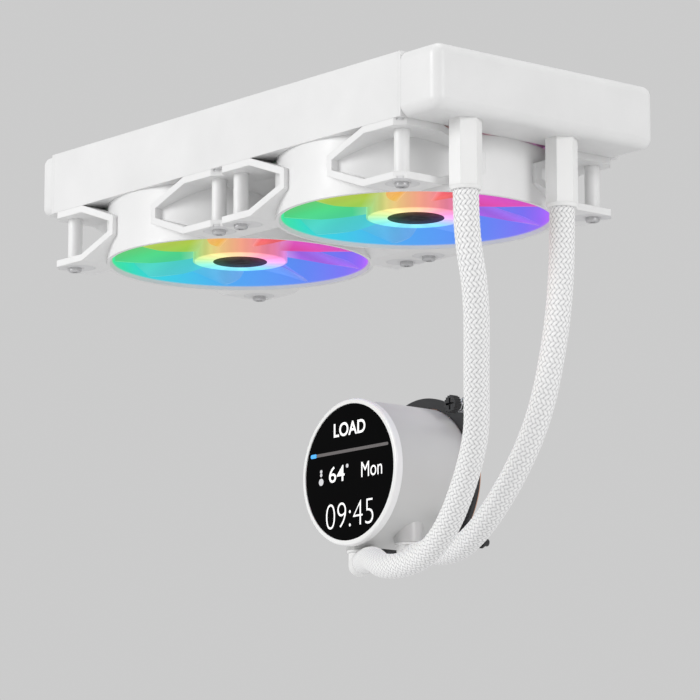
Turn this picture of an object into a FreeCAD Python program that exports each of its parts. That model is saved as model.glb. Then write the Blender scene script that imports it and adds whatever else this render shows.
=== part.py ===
"""Closed-loop liquid cooler: a radiator with two fans under it, two sleeved hoses and a round
pump head with a display.

Millimetres. The origin is the centre of the radiator's top face, where it bolts up to its
case. +Z is up, +X runs towards the hose end, and the display faces -Y.
"""
import FreeCAD
import Part
import math
import os

V = FreeCAD.Vector
UP = V(0, 0, 1)
ALONG_X = V(1, 0, 0)
ALONG_Y = V(0, 1, 0)

# ---- radiator ----
WIDTH = 120.0            # across Y
RAD_HEIGHT = 27.0
CORE_END = 120.5         # the header plates' outer faces
FRONT_TANK_END = 143.0
REAR_TANK_END = -129.0
TANK_WALL = 1.5
TANK_ROUND = 4.5
HEADER_THICKNESS = 1.5
TUBE_COUNT = 11
TUBE_PITCH = 8.4
TUBE_THICKNESS = 2.0
TUBE_DEPTH = 20.0
TUBE_WALL = 0.35
TUBE_STICK_OUT = 1.5
FIN_PITCH = 4.0
FIN_SHEET = 0.15
RAIL_INNER = 47.4
RAIL_SKIN = 1.2
RAIL_INNER_SKIN = 0.8

# ---- holes shared by the radiator and the fans ----
HOLE_SPACING = 105.0
FAN_SIZE = 120.0
FAN_CENTRES = {"fan_a": -60.0, "fan_b": 60.0}
CASE_HOLE_R = 1.6
FAN_SCREW_R = 1.5

# ---- fan ----
FAN_DEPTH = 25.0
FAN_TOP = -RAD_HEIGHT
FAN_BOTTOM = FAN_TOP - FAN_DEPTH
DUCT_OUTER_R = 59.3
DUCT_INNER_R = 56.6
DUCT_LIP = 1.2
CORNER_CUT = 6.0         # chamfer of the square's corners
BAND = 3.0               # thickness of the corner frames' bands
BAND_FLAT_END = 37.0     # where the flat of a corner frame starts to slant
BAND_TIP = 14.0          # the corner frame's tip, from the side's middle
BAND_TIP_HEIGHT = 8.5
POST_R = 3.2
PAD_DEPTH = 1.0
PAD_R = 7.0
FRAME_HOLE_R = 2.1
HUB_R = 21.0
HUB_WALL = 2.4
HUB_FACE = FAN_BOTTOM + 1.6
HUB_RIM = FAN_TOP - 5.5
BLADE_COUNT = 9
BLADE_TIP_R = 55.6
MOTOR_BASE_R = 20.0
STRUT_COUNT = 4
SHAFT_R = 1.5
SLEEVE_R = 3.4

# ---- hose fittings and hoses ----
FITTING_X = 131.5
FITTING_YS = (-35.0, 17.5)
FITTING_BOTTOM = -56.0
FITTING_FLATS = 11.8
HOSE_R = 5.25

# The routes run from the radiator's fittings to the pump head's elbows.
ROUTE_A = [
    (131.5, -35.0, -56.0), (131.5, -35.0, -74.0), (130.0, -28.0, -97.0), (114.0, -14.5, -131.0),
    (103.0, -4.5, -152.0), (75.0, 5.5, -182.0), (48.5, 13.0, -193.5), (15.0, 20.0, -193.5),
    (-16.3, 39.5, -183.0), (-36.7, 52.2, -183.0),
]
ROUTE_B = [
    (131.5, 17.5, -56.0), (131.5, 17.5, -78.0), (127.5, 17.5, -108.0), (114.5, 19.5, -142.5),
    (88.5, 23.0, -170.0), (58.0, 30.0, -186.5), (31.0, 39.5, -187.0), (13.9, 47.1, -183.0),
    (-2.8, 53.9, -183.0),
]

# ---- pump head, axis along Y ----
HEAD_X = -29.5
HEAD_Z = -144.8
HEAD_FRONT = 37.5
BEZEL_R = 32.6
BEZEL_OPENING_R = 30.4
BEZEL_BACK = HEAD_FRONT + 3.5
BODY_R = 32.2
DISPLAY_WELL_R = 30.0
WEB_FRONT = 48.0
WEB_BACK = 50.5
CHAMBER_R = 28.0
BODY_BACK = 82.0
PORT_OFFSET = 16.5
PORT_Y = 58.0
PORT_BORE_R = 3.2
PORT_BOSS_R = 6.4
PORT_FACE = -176.6
ELBOW_Z = ROUTE_A[-1][2]
ELBOW_R = 5.4
PUMP_SHAFT_R = 1.2
PUMP_BORE_R = 1.25
MAGNET_R = 11.6
CAN_R = 12.2
CAN_WALL = 0.8
STATOR_R = 17.4
STATOR_LENGTH = 11.0
STATOR_POLES = 6
FLANGE_R = 34.6
PLATE_THICKNESS = 2.5
CONTACT_SIZE = 46.0
CONTACT_FACE = BODY_BACK + 6.5
BRACKET_PITCH = 60.0
BRACKET_THICKNESS = 2.0
BRACKET_BACK = BODY_BACK
BRACKET_HOLE_R = 2.0
BRACKET_RING_R = 37.0
BRACKET_ARM_HALF = 4.6
CAPTIVE_SHANK_R = 1.7
CAPTIVE_HEAD_R = 4.0
CAPTIVE_HEAD_Y = 74.0


# ---- small helpers ----
def rod(radius, start, length, axis=UP):
    return Part.makeCylinder(radius, length, V(*start), axis)


def ring(outer, inner, start, length, axis=UP):
    """A tube; its bore is cut through both ends."""
    unit = V(axis).normalize()
    return rod(outer, start, length, axis).cut(
        Part.makeCylinder(inner, length + 2, V(*start) - unit, axis))


def block(x0, x1, y0, y1, z0, z1):
    return Part.makeBox(x1 - x0, y1 - y0, z1 - z0, V(x0, y0, z0))


def prism(points, direction):
    """A closed outline of 3D points, extruded."""
    corners = [V(*p) for p in points]
    return Part.Face(Part.makePolygon(corners + corners[:1])).extrude(direction)


def hex_prism(across_flats, start, length, axis=UP):
    """A hexagonal prism; along Z its flats face -Y and +Y."""
    corner_r = across_flats / math.sqrt(3)
    base = V(*start)
    points = []
    for i in range(6):
        a = math.radians(60 * i)
        u, w = corner_r * math.cos(a), corner_r * math.sin(a)
        points.append(base + (V(u, w, 0) if axis == UP else V(u, 0, w)))
    face = Part.Face(Part.makePolygon(points + points[:1]))
    return face.extrude(V(axis).normalize() * length)


def turned(shape, angle, centre=(0, 0, 0), axis=UP):
    copy = shape.copy()
    copy.rotate(V(*centre), axis, angle)
    return copy


def moved(shape, dx=0.0, dy=0.0, dz=0.0):
    copy = shape.copy()
    copy.translate(V(dx, dy, dz))
    return copy


def fused(shapes):
    return shapes[0].multiFuse(shapes[1:]).removeSplitter()


def holes_at(places, radius, z0, z1):
    return [rod(radius, (x, y, z0), z1 - z0) for x, y in places]


def screw_places(cx):
    half = HOLE_SPACING / 2
    return [(cx + sx * half, sy * half) for sx in (-1, 1) for sy in (-1, 1)]


ALL_SCREW_PLACES = [place for cx in FAN_CENTRES.values() for place in screw_places(cx)]

parts = {}


def keep(name, shape):
    """Store a node. A node of several pieces holds them as separate solids."""
    if isinstance(shape, list):
        shape = Part.makeCompound(shape)
    parts[name] = shape


# ---- radiator ----
def tank(face_x, end_x):
    """A hollow end tank, open towards the core, with its outer edges rounded."""
    x0, x1 = sorted((face_x, end_x))
    outer = block(x0, x1, -WIDTH / 2, WIDTH / 2, -RAD_HEIGHT, 0)
    away = [e for e in outer.Edges
            if max(abs(v.X - face_x) for v in e.Vertexes) > 1]
    outer = outer.makeFillet(min(TANK_ROUND, abs(end_x - face_x) * 0.45), away)
    wall = TANK_WALL
    inner_x = sorted((face_x - math.copysign(1, end_x - face_x),
                      end_x - math.copysign(wall, end_x - face_x)))
    inner = block(inner_x[0], inner_x[1], -WIDTH / 2 + wall + 3, WIDTH / 2 - wall - 3,
                  -RAD_HEIGHT + wall + 1, -wall - 1)
    return outer.cut(inner)


def flat_tube_profile(thickness, depth, x0, length, y):
    """A tube of two round edges and two flats, along X."""
    r = thickness / 2
    z = -RAD_HEIGHT / 2
    reach = depth / 2 - r
    return fused([
        block(x0, x0 + length, y - r, y + r, z - reach, z + reach),
        rod(r, (x0, y, z - reach), length, ALONG_X),
        rod(r, (x0, y, z + reach), length, ALONG_X)])


TUBE_YS = [(i - (TUBE_COUNT - 1) / 2) * TUBE_PITCH for i in range(TUBE_COUNT)]


def core_tubes():
    start = -CORE_END - TUBE_STICK_OUT
    length = -2 * start
    tubes = []
    for y in TUBE_YS:
        outer = flat_tube_profile(TUBE_THICKNESS, TUBE_DEPTH, start, length, y)
        inner = flat_tube_profile(TUBE_THICKNESS - 2 * TUBE_WALL, TUBE_DEPTH - 2 * TUBE_WALL,
                                  start - 1, length + 2, y)
        tubes.append(outer.cut(inner))
    return tubes


def header_plates():
    plates = []
    for x0 in (-CORE_END, CORE_END - HEADER_THICKNESS):
        plate = block(x0, x0 + HEADER_THICKNESS, -WIDTH / 2, WIDTH / 2, -RAD_HEIGHT, 0)
        slots = [flat_tube_profile(TUBE_THICKNESS, TUBE_DEPTH, x0 - 1, HEADER_THICKNESS + 2, y)
                 for y in TUBE_YS]
        plates.append(plate.cut(Part.makeCompound(slots)))
    return plates


def fin_strip(y0, y1):
    """One folded fin strip between two tubes: a zigzag sheet, extruded down."""
    half_run = CORE_END - HEADER_THICKNESS
    folds = int(2 * half_run / (FIN_PITCH / 2))
    step = 2 * half_run / folds
    sides = (y0, y1 - FIN_SHEET)
    near = [(-half_run + i * step, sides[i % 2]) for i in range(folds + 1)]
    far = [(x, y + FIN_SHEET) for x, y in reversed(near)]
    top = -(RAD_HEIGHT - TUBE_DEPTH) / 2
    return prism([(x, y, top) for x, y in near + far], V(0, 0, -TUBE_DEPTH))


def core_fins():
    edges = [-RAIL_INNER]
    for y in TUBE_YS:
        edges += [y - TUBE_THICKNESS / 2, y + TUBE_THICKNESS / 2]
    edges.append(RAIL_INNER)
    return [fin_strip(edges[i], edges[i + 1]) for i in range(0, len(edges), 2)]


def side_rails():
    """Box rails along both sides, with the case screws' holes above and the fans' below."""
    half_run = CORE_END - HEADER_THICKNESS
    rails = []
    for side in (-1, 1):
        y0, y1 = sorted((side * RAIL_INNER, side * WIDTH / 2))
        hollow = sorted((side * (RAIL_INNER + RAIL_INNER_SKIN), side * (WIDTH / 2 - RAIL_SKIN)))
        rail = block(-half_run, half_run, y0, y1, -RAD_HEIGHT, 0)
        rail = rail.cut(block(-half_run - 1, half_run + 1, hollow[0], hollow[1],
                              -RAD_HEIGHT + RAIL_SKIN, -RAIL_SKIN))
        places = [p for p in ALL_SCREW_PLACES if p[1] * side > 0]
        cuts = holes_at(places, CASE_HOLE_R, -RAIL_SKIN - 1, 1)
        cuts += holes_at(places, FAN_SCREW_R, -RAD_HEIGHT - 1, -RAD_HEIGHT + RAIL_SKIN + 1)
        rails.append(rail.cut(Part.makeCompound(cuts)))
    return rails


FILL_PLUG_R = 4.0


def fill_plug():
    """The filling port's plug, in the front tank's +Y end, with a hexagon socket."""
    z = -RAD_HEIGHT / 2
    seat = WIDTH / 2 - TANK_WALL - 3
    stem = rod(FILL_PLUG_R, (FITTING_X, seat, z), TANK_WALL + 3, ALONG_Y)
    head = rod(FILL_PLUG_R + 1.5, (FITTING_X, WIDTH / 2, z), 1.6, ALONG_Y)
    socket = hex_prism(4.0, (FITTING_X, WIDTH / 2 - 1.0, z), 4, ALONG_Y)
    return fused([stem, head]).cut(socket)


NIPPLE_BORE_R = 2.6
NIPPLE_R = 4.0
NIPPLE_TOP = -RAD_HEIGHT + 2.6
COLLAR_DEPTH = 1.6


def front_tank():
    body = tank(CORE_END, FRONT_TANK_END)
    cuts = [rod(NIPPLE_R, (FITTING_X, y, -RAD_HEIGHT - 1), 6) for y in FITTING_YS]
    cuts.append(rod(FILL_PLUG_R, (FITTING_X, WIDTH / 2 - 8, -RAD_HEIGHT / 2), 12, ALONG_Y))
    return body.cut(Part.makeCompound(cuts))


def hose_nipples():
    """The brass tubes that the fittings are built on, from inside the tank to the hose."""
    return [ring(NIPPLE_R, NIPPLE_BORE_R, (FITTING_X, y, FITTING_BOTTOM),
                 NIPPLE_TOP - FITTING_BOTTOM) for y in FITTING_YS]


def hose_sleeves():
    """Hexagonal sleeves over the nipples, with a round collar at the hose end."""
    sleeves = []
    for y in FITTING_YS:
        start = FITTING_BOTTOM + COLLAR_DEPTH
        body = hex_prism(FITTING_FLATS, (FITTING_X, y, start), -RAD_HEIGHT - start)
        chamfer_cone = Part.makeCone(HOSE_R + 0.9, HOSE_R + 1.5, COLLAR_DEPTH,
                                     V(FITTING_X, y, FITTING_BOTTOM))
        body = fused([body, chamfer_cone])
        sleeves.append(body.cut(rod(NIPPLE_R, (FITTING_X, y, FITTING_BOTTOM - 1),
                                    RAD_HEIGHT - FITTING_BOTTOM)))
    return sleeves


# ---- fan ----
def corner_frame():
    """One corner of a fan's frame: two plates that slant together along both sides."""
    side = FAN_SIZE / 2
    mid = FAN_BOTTOM + FAN_DEPTH / 2
    tip = BAND_TIP_HEIGHT / 2
    outer = [(side, FAN_BOTTOM), (side, FAN_TOP), (BAND_FLAT_END, FAN_TOP),
             (BAND_TIP, mid + tip), (BAND_TIP, mid - tip), (BAND_FLAT_END, FAN_BOTTOM)]
    slant = math.atan2(FAN_DEPTH / 2 - tip, BAND_FLAT_END - BAND_TIP)
    shift = BAND * math.tan(slant / 2)
    flat_end = BAND_FLAT_END + shift
    tip_x = BAND_TIP + BAND
    tip_z = (tip_x - BAND_TIP) * math.tan(slant) + tip - BAND / math.cos(slant)
    inner = [(side + 1, FAN_BOTTOM + BAND), (side + 1, FAN_TOP - BAND), (flat_end, FAN_TOP - BAND),
             (tip_x, mid + tip_z), (tip_x, mid - tip_z), (flat_end, FAN_BOTTOM + BAND)]

    def both_ways(outline, low, high):
        along_y = prism([(u, low, z) for u, z in outline], V(0, high - low, 0))
        along_x = prism([(low, u, z) for u, z in outline], V(high - low, 0, 0))
        return along_y.common(along_x)

    corner = both_ways(outer, 0, side).cut(both_ways(inner, 0, side + 1))
    cut = side - CORNER_CUT
    chamfer = prism([(cut, side + 2, FAN_BOTTOM - 1), (side + 2, cut, FAN_BOTTOM - 1),
                     (side + 2, side + 2, FAN_BOTTOM - 1)], V(0, 0, FAN_DEPTH + 2))
    corner = corner.cut(chamfer).cut(rod(DUCT_OUTER_R - 0.2, (0, 0, FAN_BOTTOM - 1),
                                         FAN_DEPTH + 2))
    at = HOLE_SPACING / 2
    return corner.fuse(rod(POST_R, (at, at, FAN_BOTTOM + 1), FAN_DEPTH - 2))


def pad_outline(at, z, depth, radius):
    """The rubber pad's shape at a corner: round, with a lobe towards the corner."""
    tip = at + radius * 0.42
    return fused([rod(radius, (at - 1.5, at - 1.5, z), depth),
                  rod(radius * 0.55, (tip, tip, z), depth)])


PAD_LEVELS = (FAN_BOTTOM, FAN_TOP - PAD_DEPTH)


def fan_pads():
    at = HOLE_SPACING / 2
    pads = []
    for z in PAD_LEVELS:
        pad = pad_outline(at, z, PAD_DEPTH, PAD_R - 0.1)
        pad = pad.cut(rod(POST_R + 0.4, (at, at, z - 1), PAD_DEPTH + 2))
        pad = pad.cut(rod(DUCT_OUTER_R + 0.3, (0, 0, z - 1), PAD_DEPTH + 2))
        pads += [turned(pad, 90 * i) for i in range(4)]
    return pads


def fan_frame():
    duct = ring(DUCT_OUTER_R, DUCT_INNER_R, (0, 0, FAN_BOTTOM), FAN_DEPTH)
    corner = corner_frame()
    at = HOLE_SPACING / 2
    for z in PAD_LEVELS:
        pocket = pad_outline(at, z - (0.5 if z == FAN_BOTTOM else 0), PAD_DEPTH + 0.5, PAD_R)
        keep_duct = rod(DUCT_OUTER_R + 0.2, (0, 0, z - 1), PAD_DEPTH + 2)
        island = rod(POST_R + 0.3, (at, at, z - 1), PAD_DEPTH + 2)
        corner = corner.cut(pocket.cut(keep_duct).cut(island))
    frame = fused([duct] + [turned(corner, 90 * i) for i in range(4)])
    lip = Part.makeCone(DUCT_INNER_R + DUCT_LIP, DUCT_INNER_R, DUCT_LIP * 1.6,
                        V(0, 0, FAN_BOTTOM))
    frame = frame.cut(lip)
    frame = frame.cut(Part.makeCompound(
        holes_at(screw_places(0), FRAME_HOLE_R, FAN_BOTTOM - 1, FAN_TOP + 1)))
    base = rod(MOTOR_BASE_R, (0, 0, FAN_TOP - 2.4), 2.4)
    tower = ring(SLEEVE_R + 1.5, SLEEVE_R, (0, 0, FAN_TOP - 17.5), 16)
    strut = block(MOTOR_BASE_R - 2, DUCT_INNER_R + 1, -2.5, 2.5, FAN_TOP - 2.8, FAN_TOP)
    struts = [turned(strut, 45 + 360 / STRUT_COUNT * i) for i in range(STRUT_COUNT)]
    return fused([frame, base, tower] + struts)


# radius, sweep angle, chord, pitch angle, camber, middle's height
BLADE_STATIONS = (
    (HUB_R - 1.2, -4.0, 18.0, 42.0, 1.0, -41.6),
    (38.0, 3.0, 32.0, 25.0, 1.8, -43.0),
    (BLADE_TIP_R + 3, 13.0, 49.0, 14.0, 2.4, -44.6),
)


def blade():
    """One blade: three cambered sections, lofted from the hub out, cut to the tip circle."""
    sections = []
    for radius, sweep, chord, pitch, camber, mid in BLADE_STATIONS:
        p = math.radians(pitch)
        points = []
        for side in (1, -1):
            for f in (-0.5, -0.2, 0.2, 0.5)[::side]:
                along = f * chord
                thick = side * (0.75 if abs(f) < 0.4 else 0.3)
                rise = camber * (1 - 4 * f * f) + thick
                points.append((along * math.cos(p) - rise * math.sin(p),
                               along * math.sin(p) + rise * math.cos(p)))
        s = math.radians(sweep)
        out = V(math.cos(s), math.sin(s), 0)
        side_way = V(-math.sin(s), math.cos(s), 0)
        corners = [out * radius + side_way * a + V(0, 0, mid + b) for a, b in points]
        sections.append(Part.makePolygon(corners + corners[:1]))
    loft = Part.makeLoft(sections, True, False)
    zone = ring(BLADE_TIP_R, HUB_R - 1.0, (0, 0, HUB_FACE + 0.4), FAN_TOP - 3.6 - HUB_FACE - 0.4)
    return loft.common(zone)


def fan_rotor():
    cup = rod(HUB_R, (0, 0, HUB_FACE), HUB_RIM - HUB_FACE)
    cup = cup.cut(rod(HUB_R - HUB_WALL, (0, 0, HUB_FACE + 2), FAN_DEPTH))
    boss = rod(4.0, (0, 0, HUB_FACE + 1), 3.2)
    one = blade()
    blades = [turned(one, 360 / BLADE_COUNT * i) for i in range(BLADE_COUNT)]
    rotor = cup.fuse(boss).multiFuse(blades)
    face_pocket = rod(HUB_R - 0.8, (0, 0, HUB_FACE - 1), 2.0)
    return rotor.cut(face_pocket).cut(rod(SHAFT_R, (0, 0, HUB_FACE + 1.4), 10))


HUB_CAP_R = 12.0
FAN_STATOR_R = 15.4
FAN_POLES = 4
FAN_BOARD_R = 17.5


def make_fan(name, cx):
    def put(suffix, shape):
        if isinstance(shape, list):
            keep(name + suffix, [moved(s, cx) for s in shape])
        else:
            keep(name + suffix, moved(shape, cx))

    put("_frame", FAN_PIECES["frame"])
    put("_pads", fan_pads())
    put("_rotor", FAN_PIECES["rotor"])
    put("_light_ring", ring(HUB_R - 0.8, HUB_CAP_R, (0, 0, HUB_FACE - 0.2), 1.2))
    put("_hub_cap", rod(HUB_CAP_R, (0, 0, HUB_FACE - 0.3), 1.3))
    put("_shaft", rod(SHAFT_R, (0, 0, HUB_FACE + 1.4), FAN_TOP - 3.0 - HUB_FACE - 1.4))
    put("_magnet", ring(HUB_R - HUB_WALL, HUB_R - HUB_WALL - 2.6, (0, 0, HUB_FACE + 2.4), 12.5))
    put("_bearing", ring(SLEEVE_R, SHAFT_R + 0.03, (0, 0, FAN_TOP - 16.5), 13))
    put("_stator", stator(SLEEVE_R + 1.5, FAN_STATOR_R, FAN_POLES, (0, 0, FAN_TOP - 15.5),
                          9.5, UP))
    put("_board", ring(FAN_BOARD_R, SLEEVE_R + 1.7, (0, 0, FAN_TOP - 4.6), 1.4))


def stator(bore_r, outer_r, poles, start, length, axis):
    """A laminated core: a ring, poles and a shoe on each pole."""
    x, y, z = start
    hub = ring(bore_r + 2.0, bore_r, start, length, axis)
    pieces = [hub]
    shoe_ring = ring(outer_r, outer_r - 1.8, start, length, axis)
    reach = outer_r + 2
    for i in range(poles):
        if axis == UP:
            pole = block(bore_r + 1, outer_r - 1, -1.8, 1.8, 0, length)
            wedge = prism([(0, 0, 0), (reach, -reach * 0.42, 0), (reach, reach * 0.42, 0)],
                          V(0, 0, length))
        else:
            pole = block(bore_r + 1, outer_r - 1, 0, length, -1.8, 1.8)
            wedge = prism([(0, 0, 0), (reach, 0, -reach * 0.42), (reach, 0, reach * 0.42)],
                          V(0, length, 0))
        pole = moved(pole, x, y, z)
        shoe = moved(wedge, x, y, z).common(shoe_ring)
        pieces += [turned(s, 360 / poles * i, start, axis) for s in (pole, shoe)]
    return fused(pieces)


SCREW_LENGTH = 30.0
SCREW_HEAD_R = 3.0
SCREW_HEAD = 2.0


def fan_screws():
    """The screws that hold both fans up to the radiator, heads down, with a cross recess."""
    screws = []
    tip = FAN_BOTTOM - SCREW_HEAD
    for x, y in ALL_SCREW_PLACES:
        head = rod(SCREW_HEAD_R, (x, y, tip), SCREW_HEAD)
        head = head.makeFillet(0.9, [e for e in head.Edges if e.BoundBox.ZMax < tip + 0.1])
        shank = rod(FAN_SCREW_R, (x, y, FAN_BOTTOM), SCREW_LENGTH)
        z = tip - 0.2
        cross = block(x - 1.7, x + 1.7, y - 0.35, y + 0.35, z, z + 1.4)
        screws.append(head.fuse(shank).cut(fused([cross, turned(cross, 90, (x, y, z))])))
    return screws


# ---- hoses ----
def rounded_path(points):
    """Straight runs joined by tangent arcs, each as large as its two runs allow."""
    corners = [V(*p) for p in points]
    edges = []
    radii = []
    at = corners[0]
    for before, corner, after in zip(corners, corners[1:], corners[2:]):
        into = (corner - before).normalize()
        out = (after - corner).normalize()
        shorter = min((corner - before).Length, (after - corner).Length)
        turn = into.getAngle(out)
        back = 0.45 * shorter
        radius = back / math.tan(turn / 2)
        start = corner - into * back
        end = corner + out * back
        inward = (out - into).normalize()
        middle = corner + inward * (radius / math.cos(turn / 2) - radius)
        edges.append(Part.LineSegment(at, start).toShape())
        edges.append(Part.Arc(start, middle, end).toShape())
        radii.append(radius)
        at = end
    edges.append(Part.LineSegment(at, corners[-1]).toShape())
    return Part.Wire(edges), radii


def hose(name, points):
    path, radii = rounded_path(points)
    start = V(*points[0])
    section = Part.Wire(Part.makeCircle(HOSE_R, start, V(*points[1]) - start))
    solid = path.makePipeShell([section], True, False)
    expected = math.pi * HOSE_R ** 2 * path.Length
    print(f"{name}: length {path.Length:.1f}, radii", [round(r, 1) for r in radii],
          f"volume {solid.Volume:.0f} of {expected:.0f}")
    keep(name, solid)


def elbow(offset, route):
    """A swivel elbow: a stub into the port's boss, a round corner and the hose's stub."""
    x = HEAD_X + offset
    end = V(*route[-1])
    corner = V(x, PORT_Y, ELBOW_Z)
    way = end - corner
    stub = rod(ELBOW_R, (x, PORT_Y, ELBOW_Z), PORT_FACE - ELBOW_Z)
    collar = rod(ELBOW_R + 0.7, (x, PORT_Y, PORT_FACE - 1.2), 1.2)
    neck = rod(PORT_BORE_R, (x, PORT_Y, PORT_FACE - 1), 6)
    ball = Part.makeSphere(ELBOW_R, corner)
    arm = Part.makeCylinder(ELBOW_R, way.Length, corner, way)
    solid = fused([stub, collar, neck, ball, arm])
    bore_r = PORT_BORE_R - 0.8
    bores = fused([rod(bore_r, (x, PORT_Y, ELBOW_Z), 14), Part.makeSphere(bore_r, corner),
                   Part.makeCylinder(bore_r, way.Length + 1, corner, way)])
    return solid.cut(bores)


# ---- pump head ----
def disc(radius, y0, y1):
    return rod(radius, (HEAD_X, y0, HEAD_Z), y1 - y0, ALONG_Y)


def hoop(outer, inner, y0, y1):
    return ring(outer, inner, (HEAD_X, y0, HEAD_Z), y1 - y0, ALONG_Y)


def head_block(x0, x1, y0, y1, z0, z1):
    """A box placed from the head's axis."""
    return block(HEAD_X + x0, HEAD_X + x1, y0, y1, HEAD_Z + z0, HEAD_Z + z1)


GLASS_FRONT = HEAD_FRONT + 0.4
GLASS_BACK = GLASS_FRONT + 1.5
PANEL_R = 27.3
CARRIER_BACK = 43.0
BOARD_FRONT = 44.5


def bezel_ring():
    rim = hoop(BEZEL_R, BEZEL_OPENING_R, HEAD_FRONT, BEZEL_BACK)
    edge = [e for e in rim.Edges if e.BoundBox.YMax < HEAD_FRONT + 0.01
            and e.BoundBox.ZLength > 2 * BEZEL_R - 0.1]
    rim = rim.makeFillet(0.9, edge)
    ledge = hoop(BEZEL_OPENING_R + 0.5, PANEL_R + 0.2, GLASS_BACK, BEZEL_BACK)
    return fused([rim, ledge])


def display_carrier():
    plate = disc(DISPLAY_WELL_R - 0.2, BEZEL_BACK, CARRIER_BACK)
    window = head_block(-9, 9, BEZEL_BACK - 1, CARRIER_BACK + 1, -24, -19)
    posts = [rod(2.2, (HEAD_X + 22 * math.cos(a), CARRIER_BACK - 0.5, HEAD_Z + 22 * math.sin(a)),
                 BOARD_FRONT - CARRIER_BACK + 0.5, ALONG_Y)
             for a in (math.radians(45 + 90 * i) for i in range(4))]
    return fused([plate.cut(window)] + posts)


def display_board():
    """The display's circuit board with its chips and connector, one piece."""
    board = disc(27.0, BOARD_FRONT, BOARD_FRONT + 1.4)
    back = BOARD_FRONT + 1.3
    chips = [head_block(-6, 6, back, back + 1.3, -6, 6), head_block(10, 16, back, back + 1.2, 4, 9),
             head_block(-17, -11, back, back + 1.2, -10, -3),
             head_block(-8, 8, back, back + 1.5, 14, 18)]
    return fused([board] + chips)


DUCT_BLOCK_HALF = 4.2
DUCT_LEVEL = -17.0       # the inner passages, from the head's axis
DUCT_BLOCK_END = 64.5
HOUSING_SCREW_R = 1.0
HOUSING_SCREW_CIRCLE = 30.0
HOUSING_SCREW_COUNT = 6
GLAND_ANGLE = 125.0
GLAND_Y = 70.0
GLAND_BORE_R = 1.8
GLAND_NECK_R = 3.0
GLAND_LIP_R = 4.2


def housing_screw_places():
    return [(HEAD_X + HOUSING_SCREW_CIRCLE * math.cos(a), HEAD_Z + HOUSING_SCREW_CIRCLE
             * math.sin(a)) for a in (math.radians(60 * i) for i in range(HOUSING_SCREW_COUNT))]


def pump_housing():
    """The round body: display well, web, pump chamber and two ducts up from the ports."""
    body = disc(BODY_R, BEZEL_BACK, BODY_BACK)
    body = body.cut(disc(DISPLAY_WELL_R, BEZEL_BACK - 1, WEB_FRONT))
    body = body.cut(disc(CHAMBER_R, WEB_BACK, BODY_BACK + 1))
    body = body.cut(head_block(-5, 5, WEB_FRONT - 1, WEB_BACK + 1, 19, 23))
    pieces = [body]
    bores = []
    for side in (-1, 1):
        x = side * PORT_OFFSET
        lump = head_block(x - DUCT_BLOCK_HALF, x + DUCT_BLOCK_HALF, WEB_BACK - 0.5,
                          DUCT_BLOCK_END, -30, DUCT_LEVEL + DUCT_BLOCK_HALF)
        pieces.append(lump.common(disc(BODY_R, WEB_BACK - 1, BODY_BACK)))
        pieces.append(rod(PORT_BOSS_R, (HEAD_X + x, PORT_Y, PORT_FACE), 10))
        bores.append(rod(PORT_BORE_R, (HEAD_X + x, PORT_Y, PORT_FACE - 1),
                         HEAD_Z + DUCT_LEVEL - PORT_FACE + 1))
        bores.append(rod(PORT_BORE_R - 0.2, (HEAD_X + x, PORT_Y, HEAD_Z + DUCT_LEVEL),
                         DUCT_BLOCK_END - PORT_Y + 1, ALONG_Y))
    housing = fused(pieces).cut(Part.makeCompound(bores))
    screw_holes = [rod(HOUSING_SCREW_R, (x, BODY_BACK - 6, z), 7, ALONG_Y)
                   for x, z in housing_screw_places()]
    gland_hole = gland_rod(GLAND_NECK_R, BODY_R - 6, 8)
    return housing.cut(Part.makeCompound(screw_holes + [gland_hole]))


def gland_rod(radius, from_r, length):
    """A rod that points out of the body's upper left, where the cable gland sits."""
    a = math.radians(GLAND_ANGLE)
    out = V(math.cos(a), 0, math.sin(a))
    start = V(HEAD_X, GLAND_Y, HEAD_Z) + out * from_r
    return Part.makeCylinder(radius, length, start, out)


def cable_gland():
    neck = gland_rod(GLAND_NECK_R, BODY_R - 4, 4)
    lip = gland_rod(GLAND_LIP_R, BODY_R - 0.1, 3.0)
    wall = disc(BODY_R, GLAND_Y - 10, GLAND_Y + 10).cut(gland_rod(GLAND_NECK_R, BODY_R - 6, 8))
    return neck.fuse(lip).cut(wall).cut(gland_rod(GLAND_BORE_R, BODY_R - 6, 14))


def pump_can():
    """The thin cup that keeps the coolant off the stator, with its flange."""
    cup = disc(CAN_R + CAN_WALL, WEB_BACK + 0.2, DUCT_BLOCK_END + 1.2)
    flange = disc(CHAMBER_R - 0.2, DUCT_BLOCK_END, DUCT_BLOCK_END + 1.2)
    solid = fused([cup, flange]).cut(disc(CAN_R, WEB_BACK + 1.2, BODY_BACK))
    ways = [rod(PORT_BORE_R - 0.2, (HEAD_X + side * PORT_OFFSET, DUCT_BLOCK_END - 1,
                                    HEAD_Z + DUCT_LEVEL), 4, ALONG_Y) for side in (-1, 1)]
    return solid.cut(Part.makeCompound(ways))


IMPELLER_FRONT = 66.4
VOLUTE_FRONT = 73.0
VANE_COUNT = 6


def pump_impeller():
    back = VOLUTE_FRONT - 1.2
    plate = disc(14.0, IMPELLER_FRONT, IMPELLER_FRONT + 1.4)
    hub = disc(3.6, IMPELLER_FRONT, back)
    vane = head_block(3, 13.4, IMPELLER_FRONT + 1, back, -0.6, 0.6)
    centre = (HEAD_X, 0, HEAD_Z)
    vanes = [turned(vane, 360 / VANE_COUNT * i, centre, ALONG_Y) for i in range(VANE_COUNT)]
    return fused([plate, hub] + vanes).cut(disc(PUMP_BORE_R, IMPELLER_FRONT - 1, back + 1))


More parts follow.
